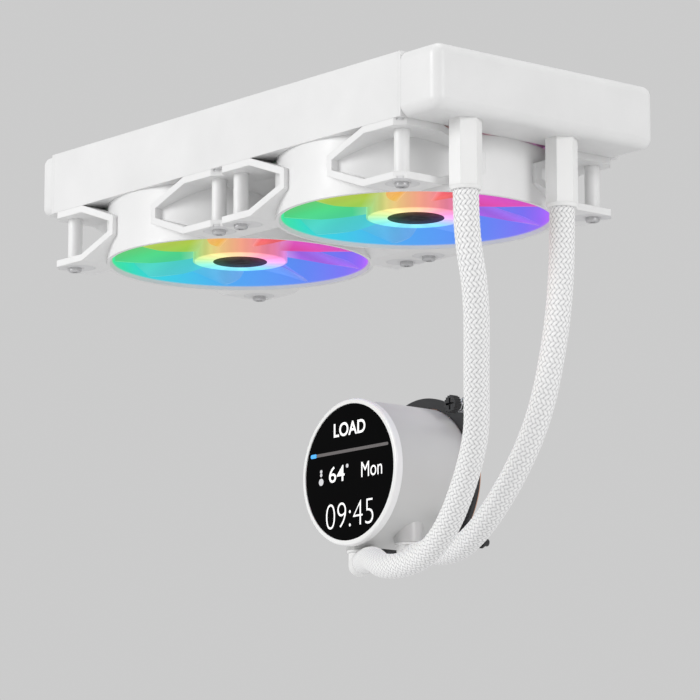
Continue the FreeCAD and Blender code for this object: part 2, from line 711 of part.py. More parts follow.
def volute_plate():
    """The plate behind the impeller, with its inlet and a rim that presses on the seal."""
    plate = disc(CHAMBER_R - 0.2, VOLUTE_FRONT, VOLUTE_FRONT + 2)
    rim = hoop(CHAMBER_R - 0.2, CHAMBER_R - 2.4, VOLUTE_FRONT + 1, BODY_BACK - 1.4)
    eye = [rod(2.4, (HEAD_X + 6.5 * math.cos(a), VOLUTE_FRONT - 1, HEAD_Z + 6.5 * math.sin(a)),
               4, ALONG_Y) for a in (math.radians(60 * i + 30) for i in range(6))]
    return fused([plate, rim]).cut(Part.makeCompound(eye))


def cold_plate():
    """The copper plate: a flange behind the body, fins inside and the contact pad outside."""
    flange = disc(FLANGE_R, BODY_BACK, BODY_BACK + PLATE_THICKNESS)
    half = CONTACT_SIZE / 2
    pad = head_block(-half, half, BODY_BACK + 1, CONTACT_FACE, -half, half)
    pad = pad.makeFillet(5.0, [e for e in pad.Edges if e.BoundBox.YLength > 2
                               and e.BoundBox.XLength < 0.1 and e.BoundBox.ZLength < 0.1])
    fins = [head_block(-13 + 2 * i, -12 + 2 * i, BODY_BACK - 4, BODY_BACK + 0.5, -13, 13)
            for i in range(13)]
    holes = [rod(HOUSING_SCREW_R, (x, BODY_BACK - 1, z), PLATE_THICKNESS + 2, ALONG_Y)
             for x, z in housing_screw_places()]
    return fused([flange, pad] + fins).cut(Part.makeCompound(holes))


def cold_plate_screws():
    seat = BODY_BACK + PLATE_THICKNESS
    return [rod(HOUSING_SCREW_R, (x, BODY_BACK - 5, z), PLATE_THICKNESS + 5, ALONG_Y).fuse(
        rod(1.8, (x, seat, z), 1.2, ALONG_Y)) for x, z in housing_screw_places()]


def bracket_corners():
    half = BRACKET_PITCH / 2
    return [(HEAD_X + sx * half, HEAD_Z + sz * half) for sx in (-1, 1) for sz in (-1, 1)]


def bracket():
    """The clamp behind the body's flange: a ring with an arm to each captive screw."""
    front = BRACKET_BACK - BRACKET_THICKNESS
    pieces = [disc(BRACKET_RING_R, front, BRACKET_BACK)]
    for x, z in bracket_corners():
        out = V(x - HEAD_X, 0, z - HEAD_Z)
        across = out.cross(ALONG_Y).normalize() * BRACKET_ARM_HALF
        root = V(HEAD_X, front, HEAD_Z) + out * 0.82
        tip = V(x, front, z)
        pieces.append(prism([tuple(p) for p in (root + across, tip + across, tip - across,
                                                root - across)], V(0, BRACKET_THICKNESS, 0)))
        pieces.append(rod(BRACKET_ARM_HALF, (x, front, z), BRACKET_THICKNESS, ALONG_Y))
    plate = fused(pieces).cut(disc(BODY_R + 0.3, front - 1, BRACKET_BACK + 1))
    holes = [rod(BRACKET_HOLE_R, (x, front - 1, z), BRACKET_THICKNESS + 2, ALONG_Y)
             for x, z in bracket_corners()]
    return plate.cut(Part.makeCompound(holes))


CAPTIVE_HEAD = 3.6
CAPTIVE_TIP_Y = 92.0
CAPTIVE_STOP_R = 2.8
CAPTIVE_STOP_Y = 88.0
KNURL_COUNT = 18
KNURL_R = 0.55
SPRING_R = 3.2
SPRING_WIRE_R = 0.35
SPRING_TURNS = 3


def captive_screw(x, z):
    """A captive screw: knurled head, shank through the bracket and a retaining ring behind."""
    head = rod(CAPTIVE_HEAD_R, (x, CAPTIVE_HEAD_Y - CAPTIVE_HEAD, z), CAPTIVE_HEAD, ALONG_Y)
    face = CAPTIVE_HEAD_Y - CAPTIVE_HEAD
    knurl = [rod(KNURL_R, (x + CAPTIVE_HEAD_R * math.cos(a), face - 1,
                           z + CAPTIVE_HEAD_R * math.sin(a)), CAPTIVE_HEAD + 2, ALONG_Y)
             for a in (2 * math.pi * i / KNURL_COUNT for i in range(KNURL_COUNT))]
    slot = block(x - 2.6, x + 2.6, face - 1, face + 1.4, z - 0.5, z + 0.5)
    cross = fused([slot, turned(slot, 90, (x, 0, z), ALONG_Y)])
    head = head.cut(Part.makeCompound(knurl)).cut(cross)
    shank = rod(CAPTIVE_SHANK_R, (x, CAPTIVE_HEAD_Y, z), CAPTIVE_TIP_Y - CAPTIVE_HEAD_Y, ALONG_Y)
    stop = rod(CAPTIVE_STOP_R, (x, CAPTIVE_STOP_Y, z), 1.0, ALONG_Y)
    return fused([head, shank, stop])


def captive_spring(x, z):
    """A compression spring's solid: level turns, each joined to the next by a short riser."""
    low = CAPTIVE_HEAD_Y + 0.1 + SPRING_WIRE_R
    high = BRACKET_BACK - BRACKET_THICKNESS - 0.1 - SPRING_WIRE_R
    pitch = (high - low) / SPRING_TURNS
    coil_r = SPRING_R - SPRING_WIRE_R
    pieces = []
    for i in range(SPRING_TURNS + 1):
        centre = V(x, low + i * pitch, z)
        pieces.append(Part.makeTorus(coil_r, SPRING_WIRE_R, centre, ALONG_Y))
        if i < SPRING_TURNS:
            side = coil_r if i % 2 else -coil_r
            pieces.append(rod(SPRING_WIRE_R * 0.8, (x + side, low + i * pitch, z), pitch, ALONG_Y))
    return fused(pieces)


# ---- build ----
FAN_PIECES = {"frame": fan_frame(), "rotor": fan_rotor()}

keep("front_tank", front_tank())
keep("rear_tank", tank(-CORE_END, REAR_TANK_END))
keep("header_plates", header_plates())
keep("core_tubes", core_tubes())
keep("core_fins", core_fins())
keep("side_rails", side_rails())
keep("fill_plug", fill_plug())
keep("hose_nipples", hose_nipples())
keep("hose_sleeves", hose_sleeves())
for fan_name, fan_x in FAN_CENTRES.items():
    make_fan(fan_name, fan_x)
keep("fan_screws", fan_screws())
hose("hose_a", ROUTE_A)
hose("hose_b", ROUTE_B)
keep("pump_elbows", [elbow(-PORT_OFFSET, ROUTE_A), elbow(PORT_OFFSET, ROUTE_B)])
keep("bezel_ring", bezel_ring())
keep("display_glass", disc(BEZEL_OPENING_R - 0.1, GLASS_FRONT, GLASS_BACK))
keep("display_panel", disc(PANEL_R, GLASS_BACK, BEZEL_BACK))
keep("display_carrier", display_carrier())
keep("display_board", display_board())
keep("pump_housing", pump_housing())
keep("cable_gland", cable_gland())
keep("pump_can", pump_can())
keep("pump_stator", stator(CAN_R + CAN_WALL + 0.2, STATOR_R, STATOR_POLES,
                           (HEAD_X, WEB_BACK + 1.0, HEAD_Z), STATOR_LENGTH, ALONG_Y))
keep("pump_magnet", hoop(MAGNET_R, PUMP_BORE_R, WEB_BACK + 2.4, IMPELLER_FRONT))
keep("pump_impeller", pump_impeller())
keep("pump_shaft", disc(PUMP_SHAFT_R, WEB_BACK + 1.2, VOLUTE_FRONT))
keep("volute_plate", volute_plate())
keep("seal_ring", hoop(CHAMBER_R - 0.3, CHAMBER_R - 2.2, BODY_BACK - 1.4, BODY_BACK))
keep("cold_plate", cold_plate())
keep("cold_plate_screws", cold_plate_screws())
keep("bracket", bracket())
for number, (screw_x, screw_z) in enumerate(bracket_corners(), start=1):
    keep(f"bracket_screw_{number}", captive_screw(screw_x, screw_z))
    keep(f"bracket_spring_{number}", captive_spring(screw_x, screw_z))

os.makedirs("parts", exist_ok=True)
for name, shape in parts.items():
    bad = [s for s in shape.Solids if not s.isValid() or s.Volume <= 0]
    if bad or not shape.Solids:
        print("not a clean solid:", name)
    shape.exportStep(f"parts/{name}.step")
print(len(parts), "nodes")
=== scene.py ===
import math

import bpy
import numpy as np
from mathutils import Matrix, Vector


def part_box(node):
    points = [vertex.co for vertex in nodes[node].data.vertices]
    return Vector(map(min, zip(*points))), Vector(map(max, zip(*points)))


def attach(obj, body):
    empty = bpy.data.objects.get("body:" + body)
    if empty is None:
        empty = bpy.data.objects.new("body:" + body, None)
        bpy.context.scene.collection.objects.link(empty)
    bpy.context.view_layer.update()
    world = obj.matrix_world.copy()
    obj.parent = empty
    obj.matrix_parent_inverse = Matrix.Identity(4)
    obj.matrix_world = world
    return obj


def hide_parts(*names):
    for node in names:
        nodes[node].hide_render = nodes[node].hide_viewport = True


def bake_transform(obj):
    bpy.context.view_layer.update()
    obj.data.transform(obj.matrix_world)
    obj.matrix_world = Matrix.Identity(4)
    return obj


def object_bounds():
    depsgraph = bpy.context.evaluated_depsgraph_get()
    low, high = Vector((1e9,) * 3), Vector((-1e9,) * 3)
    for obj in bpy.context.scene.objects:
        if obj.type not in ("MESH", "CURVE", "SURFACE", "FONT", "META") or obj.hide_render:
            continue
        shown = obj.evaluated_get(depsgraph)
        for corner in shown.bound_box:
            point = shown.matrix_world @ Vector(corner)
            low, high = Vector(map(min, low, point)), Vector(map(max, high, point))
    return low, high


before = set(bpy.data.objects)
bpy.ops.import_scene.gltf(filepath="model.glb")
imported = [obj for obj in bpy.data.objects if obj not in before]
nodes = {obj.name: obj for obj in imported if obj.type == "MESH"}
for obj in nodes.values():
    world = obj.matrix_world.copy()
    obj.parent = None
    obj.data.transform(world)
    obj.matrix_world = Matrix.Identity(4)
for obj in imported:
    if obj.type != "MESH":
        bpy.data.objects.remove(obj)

# A closed-loop liquid cooler in its resting place under a case's top: radiator, two lit fans,
# two braided hoses and a round pump head with a display. Lengths are in metres.
cad_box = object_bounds()


# ---- camera ----
CAMERA_PLACE = (1.2692, -1.0392, -0.395)
TARGET_SHIFT = (-0.0040, -0.0048, 0.0015)     # from the middle of the object's box
FOCAL_LENGTH = 199
SENSOR_WIDTH = 36


def add_camera():
    """The camera, below the fans and to the right of the display."""
    low, high = cad_box
    target = (low + high) / 2 + Vector(TARGET_SHIFT)
    lens = bpy.data.cameras.new("camera")
    lens.lens = FOCAL_LENGTH
    lens.sensor_width = SENSOR_WIDTH
    lens.clip_start, lens.clip_end = 0.05, 30
    camera = bpy.data.objects.new("camera", lens)
    camera.location = CAMERA_PLACE
    camera.rotation_mode = "QUATERNION"
    camera.rotation_quaternion = (target - camera.location).to_track_quat("-Z", "Y")
    bpy.context.collection.objects.link(camera)
    bpy.context.scene.camera = camera


add_camera()


# ---- mesh helpers ----
def link(name, mesh):
    """A new object in the scene from a mesh."""
    piece = bpy.data.objects.new(name, mesh)
    bpy.context.collection.objects.link(piece)
    return piece


def grid_mesh(name, rings):
    """A tube's smooth mesh with flat caps, from rings, an array (ring, around, 3)."""
    count, around = rings.shape[:2]
    index = np.arange(count * around).reshape(count, around)
    after = np.roll(index, -1, axis=1)
    quads = np.stack([index[:-1], after[:-1], after[1:], index[1:]], axis=-1).reshape(-1, 4)
    faces = quads.tolist() + [index[0][::-1].tolist(), index[-1].tolist()]
    mesh = bpy.data.meshes.new(name)
    mesh.from_pydata(rings.reshape(-1, 3).tolist(), [], faces)
    mesh.polygons.foreach_set("use_smooth", [True] * len(quads) + [False, False])
    return mesh


def sides_along(points):
    """Two unit sides at each point of a line, which turn as little as they can."""
    tangents = np.gradient(points, axis=0)
    tangents /= np.linalg.norm(tangents, axis=1)[:, None]
    side = np.cross(tangents[0], (0.0, 1.0, 0.0))
    if np.linalg.norm(side) < 0.1:
        side = np.cross(tangents[0], (1.0, 0.0, 0.0))
    sides = []
    for tangent in tangents:
        side = side - tangent * np.dot(side, tangent)
        side /= np.linalg.norm(side)
        sides.append(side)
    sides = np.array(sides)
    return sides, np.cross(tangents, sides)


def tube_rings(points, radii):
    """Rings around a line of points; radii is an array (ring, around)."""
    side, other = sides_along(points)
    angle = np.linspace(0, 2 * math.pi, radii.shape[1], endpoint=False)
    around = (side[:, None, :] * np.cos(angle)[None, :, None]
              + other[:, None, :] * np.sin(angle)[None, :, None])
    return points[:, None, :] + around * radii[:, :, None]


def even_points(points, step):
    """The line of points again, an even step apart, and each point's distance along it."""
    lengths = np.r_[0, np.cumsum(np.linalg.norm(np.diff(points, axis=0), axis=1))]
    at = np.linspace(0, lengths[-1], int(lengths[-1] / step) + 1)
    return np.stack([np.interp(at, lengths, points[:, i]) for i in range(3)], axis=1), at


# ---- hoses ----
HOSE_RADIUS = 0.00525
BRAID_BANDS = 16         # bands of yarn each way round the hose
BRAID_PITCH = 0.0021     # a band's width along the hose
BRAID_HEIGHT = 0.00032
BRAID_MIDDLE = 0.75      # the share of a band's height that lies on the hose's radius
STEPS_PER_BAND = 8
BAND_ROUNDNESS = 0.55    # lower is flatter across a band
BAND_SHARE = 0.62        # of the height, from a band's own rounding
LIFT_SHARE = 0.38        # of the height, from passing over other bands
# Each hose's control points from its sleeve to its elbow, and its length.
ROUTES = {
    "hose_a": ([
        (0.1315, -0.035, -0.056), (0.1315, -0.035, -0.074), (0.130, -0.028, -0.097),
        (0.114, -0.0145, -0.131), (0.103, -0.0045, -0.152), (0.075, 0.0055, -0.182),
        (0.0485, 0.013, -0.1935), (0.015, 0.020, -0.1935), (-0.0163, 0.0395, -0.183),
        (-0.0367, 0.0522, -0.183)], 0.2745),
    "hose_b": ([
        (0.1315, 0.0175, -0.056), (0.1315, 0.0175, -0.078), (0.1275, 0.0175, -0.108),
        (0.1145, 0.0195, -0.1425), (0.0885, 0.023, -0.170), (0.058, 0.030, -0.1865),
        (0.031, 0.0395, -0.187), (0.0139, 0.0471, -0.183), (-0.0028, 0.0539, -0.183)], 0.2268),
}


def route_points(name, route):
    """Points read along the route's smooth spline."""
    curve = bpy.data.curves.new(name + "_route", "CURVE")
    curve.dimensions = "3D"
    curve.resolution_u = 48
    spline = curve.splines.new("NURBS")
    spline.points.add(len(route) - 1)
    for point, place in zip(spline.points, route):
        point.co = (*place, 1.0)
    spline.order_u = 3
    spline.use_endpoint_u = True
    carrier = bpy.data.objects.new(name + "_route", curve)
    line = bpy.data.meshes.new_from_object(carrier)
    points = np.array([tuple(v.co) for v in line.vertices])
    bpy.data.objects.remove(carrier)
    bpy.data.curves.remove(curve)
    bpy.data.meshes.remove(line)
    return points


def braid_height(around, along):
    """A two-over-two braid: how far the upper band stands out, and how deep its edge is."""
    one = around + along
    two = around - along
    index_one, index_two = np.floor(one), np.floor(two)
    across_one = np.sin(np.pi * (one - index_one)) ** BAND_ROUNDNESS
    across_two = np.sin(np.pi * (two - index_two)) ** BAND_ROUNDNESS
    lift_one = np.sin(np.pi / 2 * (two - index_one))
    lift_two = np.sin(np.pi / 2 * (one - index_two - 1))
    return np.maximum(BAND_SHARE * across_one + LIFT_SHARE * lift_one,
                      BAND_SHARE * across_two + LIFT_SHARE * lift_two)


def braided_hose(name, route, length):
    """A hose's braided sleeve along its route."""
    points, at = even_points(route_points(name, route), BRAID_PITCH / STEPS_PER_BAND)
    count = BRAID_BANDS * STEPS_PER_BAND
    around = np.arange(count) / STEPS_PER_BAND
    along = (at / BRAID_PITCH)[:, None]
    height = np.clip(braid_height(around[None, :], along), 0, 1)
    radii = HOSE_RADIUS + BRAID_HEIGHT * (height - BRAID_MIDDLE)
    mesh = grid_mesh(name + "_sleeve", tube_rings(points, radii))
    # The bands' height, kept for the sleeve's colour, which paints shade into the grooves.
    painted_shade_height = mesh.attributes.new("painted_shade_height", "FLOAT", "POINT")
    painted_shade_height.data.foreach_set("value", height.reshape(-1).astype(np.float32))
    piece = link(name + "_sleeve", mesh)
    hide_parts(name)
    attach(piece, "base")
    return piece


hoses = [braided_hose(name, *facts) for name, facts in ROUTES.items()]


# ---- materials ----
class Finish:
    """A principled material with the node chains that the finishes share."""

    def __init__(self, name):
        self.material = bpy.data.materials.new(name)
        self.material.use_nodes = True
        self.tree = self.material.node_tree
        self.shader = next(n for n in self.tree.nodes if n.type == "BSDF_PRINCIPLED")
        self.place = self.add("TexCoord").outputs["Object"]

    def add(self, kind, **settings):
        node = self.tree.nodes.new("ShaderNode" + kind)
        for key, value in settings.items():
            setattr(node, key, value)
        return node

    def wire(self, output, target):
        self.tree.links.new(output, target)

    def fixed(self, **values):
        """Sets the shader's own sockets."""
        for key, value in values.items():
            self.shader.inputs[key.replace("_", " ")].default_value = value

    def math(self, operation, a, b=None):
        node = self.add("Math", operation=operation)
        for socket, value in zip(node.inputs, (a, b)):
            if isinstance(value, (int, float)):
                socket.default_value = value
            elif value is not None:
                self.wire(value, socket)
        return node.outputs[0]

    def stretched(self, stretch):
        if stretch == (1, 1, 1):
            return self.place
        mapping = self.add("Mapping")
        mapping.inputs["Scale"].default_value = stretch
        self.wire(self.place, mapping.inputs["Vector"])
        return mapping.outputs["Vector"]

    def noise(self, scale, detail=2.0, stretch=(1, 1, 1), vector=None):
        node = self.add("TexNoise")
        node.inputs["Scale"].default_value = scale
        node.inputs["Detail"].default_value = detail
        self.wire(vector or self.stretched(stretch), node.inputs["Vector"])
        return node.outputs[0]

    def ranged(self, value, low, high, from_low=0.3, from_high=0.7):
        """A value from low to high while the given one goes from from_low to from_high."""
        node = self.add("MapRange")
        node.inputs["From Min"].default_value = from_low
        node.inputs["From Max"].default_value = from_high
        node.inputs["To Min"].default_value = low
        node.inputs["To Max"].default_value = high
        self.wire(value, node.inputs["Value"])
        return node.outputs[0]

    def ramp(self, value, stops):
        node = self.add("ValToRGB")
        elements = node.color_ramp.elements
        while len(elements) < len(stops):
            elements.new(0.5)
        for element, (position, colour) in zip(elements, stops):
            element.position = position
            element.color = (*colour, 1.0)
        self.wire(value, node.inputs["Fac"])
        return node.outputs["Color"]

    def bump(self, height, strength, distance, below=None):
        node = self.add("Bump")
        node.inputs["Strength"].default_value = strength
        node.inputs["Distance"].default_value = distance
        self.wire(height, node.inputs["Height"])
        if below is not None:
            self.wire(below, node.inputs["Normal"])
        return node.outputs["Normal"]

    def soft_edges(self, radius):
        """A normal that rounds the edges off."""
        node = self.add("Bevel", samples=4)
        node.inputs["Radius"].default_value = radius
        return node.outputs["Normal"]


def dimmed(colour, share):
    return tuple(c * share for c in colour)


def surface(name, colour, roughness, metallic=0.0, vary=0.06, blotch=28, grain=2600, depth=3e-5,
            stretch=(1, 1, 1), coat=0.0, sheen=0.0, specular=0.5, edge=0.0003, spread=0.06):
    """A finish with blotches of tone, uneven gloss, a fine grain and softened edges."""
    f = Finish(name)
    tone = f.noise(blotch, 4.0, stretch)
    f.wire(f.ramp(tone, [(0.32, dimmed(colour, 1 - vary)), (0.68, colour)]),
           f.shader.inputs["Base Color"])
    gloss = f.noise(blotch * 7, 3.0, stretch)
    f.wire(f.ranged(gloss, roughness - spread, roughness + spread), f.shader.inputs["Roughness"])
    fine = f.noise(grain, 3.0, stretch)
    below = f.soft_edges(edge) if edge else None
    f.wire(f.bump(fine, 0.5, depth, below), f.shader.inputs["Normal"])
    f.fixed(Metallic=metallic, Coat_Weight=coat, Coat_Roughness=0.1, Sheen_Weight=sheen,
            Specular_IOR_Level=specular)
    return f.material


def sleeve():
    """White braided yarn, with shade painted into the grooves: dark grey between the bands, paler
    on their tops.
    """
    f = Finish("sleeve_white_finish")
    height = f.add("Attribute", attribute_name="painted_shade_height").outputs["Fac"]
    # Painted shade: the base colour falls from white on the band tops to dark grey in the grooves.
    base = f.ramp(height, [(0.15, (0.22, 0.22, 0.23)), (0.50, (0.66, 0.66, 0.665)),
                           (0.80, (0.96, 0.96, 0.96))])
    tint = f.ramp(f.noise(900, 3.0), [(0.3, (0.95, 0.95, 0.95)), (0.7, (1.0, 1.0, 1.0))])
    tinted = f.add("Mix", data_type="RGBA", blend_type="MULTIPLY")
    tinted.inputs[0].default_value = 1.0
    f.wire(base, tinted.inputs[6])
    f.wire(tint, tinted.inputs[7])
    f.wire(tinted.outputs[2], f.shader.inputs["Base Color"])
    f.wire(f.ranged(f.noise(700, 2.0), 0.55, 0.72), f.shader.inputs["Roughness"])
    f.wire(f.bump(f.noise(5200, 3.0), 0.6, 4e-5), f.shader.inputs["Normal"])
    f.fixed(Sheen_Weight=0.25, Sheen_Roughness=0.4, Specular_IOR_Level=0.35)
    return f.material


FAN_OFFSET = 0.06        # each fan's axis from the radiator's middle
DUCT_RADIUS = 0.0567
PAINTED_GLOW_FADE = 0.009        # the painted glow inside the duct ends this far below its top
RING_INNER, RING_OUTER = 0.013, 0.027     # where the paler middle begins and ends
SWIRL = 7.0              # radians of swirl for each metre from the axis
# The lit fan's colour by angle about its axis, from -180 degrees, in sRGB.
RAINBOW = (
    (-180, (60, 208, 226)), (-155, (56, 216, 178)), (-130, (62, 218, 130)),
    (-105, (140, 212, 70)), (-84, (196, 206, 48)), (-60, (236, 180, 60)), (-36, (240, 128, 76)),
    (-12, (232, 72, 104)), (8, (230, 52, 138)), (30, (222, 80, 202)), (52, (180, 92, 236)),
    (85, (128, 116, 240)), (115, (100, 144, 242)), (145, (84, 168, 240)), (180, (60, 208, 226)),
)
# The same for the bright ring round the hub's cap.
RING_RAINBOW = (
    (-180, (70, 232, 246)), (-150, (96, 240, 206)), (-112, (190, 240, 130)),
    (-75, (250, 232, 120)), (-40, (255, 196, 130)), (-10, (255, 132, 156)), (20, (255, 110, 204)),
    (50, (246, 150, 250)), (78, (176, 178, 255)), (108, (70, 210, 255)), (180, (70, 232, 246)),
)


def linear(rgb):
    """Linear colour from sRGB, each from 0 to 255."""
    return tuple((c / 255 / 12.92) if c < 11 else ((c / 255 + 0.055) / 1.055) ** 2.4 for c in rgb)


def fan_light(f, colours=RAINBOW):
    """A fan's hue by angle, the distance from its axis, and the place without its height.

    The hues are placed in the base's frame, so they stand still while the blades turn.
    """
    split = f.add("SeparateXYZ")
    f.wire(f.add("TexCoord", object=nodes["front_tank"]).outputs["Object"], split.inputs["Vector"])
    x, y = split.outputs["X"], split.outputs["Y"]
    x = f.math("SUBTRACT", x, f.math("MULTIPLY", f.math("SIGN", x), FAN_OFFSET))
    radius = f.math("SQRT", f.math("ADD", f.math("MULTIPLY", x, x), f.math("MULTIPLY", y, y)))
    flat = f.add("CombineXYZ")
    f.wire(x, flat.inputs["X"])
    f.wire(y, flat.inputs["Y"])
    angle = f.add("TexGradient", gradient_type="RADIAL")
    f.wire(flat.outputs[0], angle.inputs["Vector"])
    hue = f.ramp(angle.outputs[1], [((a + 180) / 360, linear(c)) for a, c in colours])
    return hue, radius, flat.outputs[0]


def scaled(f, colour, share):
    """A colour times a share, which is a socket or a number."""
    node = f.add("VectorMath", operation="SCALE")
    f.wire(colour, node.inputs[0])
    if isinstance(share, float):
        node.inputs["Scale"].default_value = share
    else:
        f.wire(share, node.inputs["Scale"])
    return node.outputs[0]


def mixed(f, share, first, second):
    """A mix of two colours; each is a socket or a fixed colour."""
    node = f.add("Mix", data_type="RGBA")
    f.wire(share, node.inputs[0])
    for socket, colour in ((node.inputs[6], first), (node.inputs[7], second)):
        if isinstance(colour, tuple):
            socket.default_value = (*colour, 1.0)
        else:
            f.wire(colour, socket)
    return node.outputs[2]


def lit(name, strength, near_white, body, colours=RAINBOW):
    """Frosted plastic lit from the hub: hue by angle, paler towards the hub, soft streaks."""
    f = Finish(name)
    hue, radius, flat = fan_light(f, colours)
    swirl = f.add("VectorRotate", rotation_type="Z_AXIS")
    f.wire(flat, swirl.inputs["Vector"])
    f.wire(f.math("MULTIPLY", radius, SWIRL), swirl.inputs["Angle"])
    way = f.add("VectorMath", operation="NORMALIZE")
    f.wire(swirl.outputs[0], way.inputs[0])
    streak = f.ranged(f.noise(3.0, 1.5, vector=way.outputs[0]), 0.88, 1.08, 0.34, 0.66)
    pale = f.ranged(radius, near_white, 0.03, RING_INNER, RING_OUTER)
    whiter = mixed(f, pale, hue, (1.0, 1.0, 1.0))
    f.wire(scaled(f, whiter, streak), f.shader.inputs["Emission Color"])
    f.wire(scaled(f, hue, body), f.shader.inputs["Base Color"])
    f.wire(f.ranged(f.noise(400, 2.0), 0.34, 0.46), f.shader.inputs["Roughness"])
    f.wire(f.bump(f.noise(3000, 2.0), 0.3, 2e-5), f.shader.inputs["Normal"])
    f.fixed(Emission_Strength=strength, Specular_IOR_Level=0.2)
    return f.material


def fan_frame():
    """White plastic, with the blades' light painted inside the duct: a glow in their hue and a
    darker, tinted base colour.
    """
    f = Finish("fan_frame_painted_glow_finish")
    hue, radius, _ = fan_light(f)
    within = f.ranged(radius, 1.0, 0.0, DUCT_RADIUS, DUCT_RADIUS + 0.0003)
    split = f.add("SeparateXYZ")
    f.wire(f.place, split.inputs["Vector"])
    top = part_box("fan_a_frame")[1].z
    below_top = f.ranged(split.outputs["Z"], 1.0, 0.0, top - PAINTED_GLOW_FADE, top - PAINTED_GLOW_FADE / 3)
    # The share of painted glow: inside the duct and below its top.
    inside = f.math("MULTIPLY", within, below_top)
    white = f.ramp(f.noise(28, 4.0), [(0.32, (0.79, 0.79, 0.79)), (0.68, (0.83, 0.83, 0.83))])
    # Painted light: inside the duct the base colour turns to a dark tint of the hue, and the wall
    # glows in it.
    f.wire(mixed(f, inside, white, scaled(f, hue, 0.22)), f.shader.inputs["Base Color"])
    f.wire(scaled(f, hue, inside), f.shader.inputs["Emission Color"])
    f.wire(f.ranged(f.noise(196, 3.0), 0.36, 0.48), f.shader.inputs["Roughness"])
    f.wire(f.bump(f.noise(3200, 3.0), 0.5, 2.5e-5, f.soft_edges(0.0004)),
           f.shader.inputs["Normal"])
    f.fixed(Emission_Strength=0.85)
    return f.material


def dark_cap():
    """Smoked plastic over the hub: near black, with the light of the ring round it painted on as a
    faint glow.
    """
    f = Finish("dark_cap_finish")
    hue, radius, _ = fan_light(f)
    # Painted glow: the ring's hue, faint at the middle and stronger towards the cap's edge.
    painted_bleed = f.ranged(radius, 0.004, 0.10, 0.004, 0.012)
    f.wire(scaled(f, hue, painted_bleed), f.shader.inputs["Emission Color"])
    f.wire(f.ramp(f.noise(60, 3.0), [(0.3, (0.003, 0.002, 0.006)), (0.7, (0.006, 0.004, 0.012))]),
           f.shader.inputs["Base Color"])
    f.wire(f.ranged(f.noise(300, 2.0), 0.40, 0.52), f.shader.inputs["Roughness"])
    f.wire(f.bump(f.noise(3000, 2.0), 0.3, 1e-5), f.shader.inputs["Normal"])
    f.fixed(Emission_Strength=1.0, IOR=1.12)
    return f.material


def board(name):
    """Solder mask over tracks, with a gloss that the tracks break."""
    f = Finish(name)
    cells = f.add("TexVoronoi", distance="CHEBYCHEV")
    cells.inputs["Scale"].default_value = 420
    f.wire(f.place, cells.inputs["Vector"])
    stops = [(0.10, (0.30, 0.24, 0.08)), (0.16, (0.012, 0.05, 0.03)),
             (0.8, (0.008, 0.035, 0.022))]
    f.wire(f.ramp(cells.outputs["Distance"], stops), f.shader.inputs["Base Color"])
    f.wire(f.ranged(f.noise(300, 2.0), 0.28, 0.42), f.shader.inputs["Roughness"])
    f.wire(f.bump(cells.outputs["Distance"], 0.4, 5e-5), f.shader.inputs["Normal"])
    return f.material


def glowing(name, colour, strength):
    """A lit sign's ink, a little uneven."""
    f = Finish(name)
    f.wire(f.ramp(f.noise(700, 2.0), [(0.3, dimmed(colour, 0.92)), (0.7, colour)]),
           f.shader.inputs["Emission Color"])
    f.wire(f.ranged(f.noise(500, 2.0), 0.25, 0.35), f.shader.inputs["Roughness"])
    f.fixed(Emission_Strength=strength, Base_Color=(*dimmed(colour, 0.3), 1.0))
    return f.material


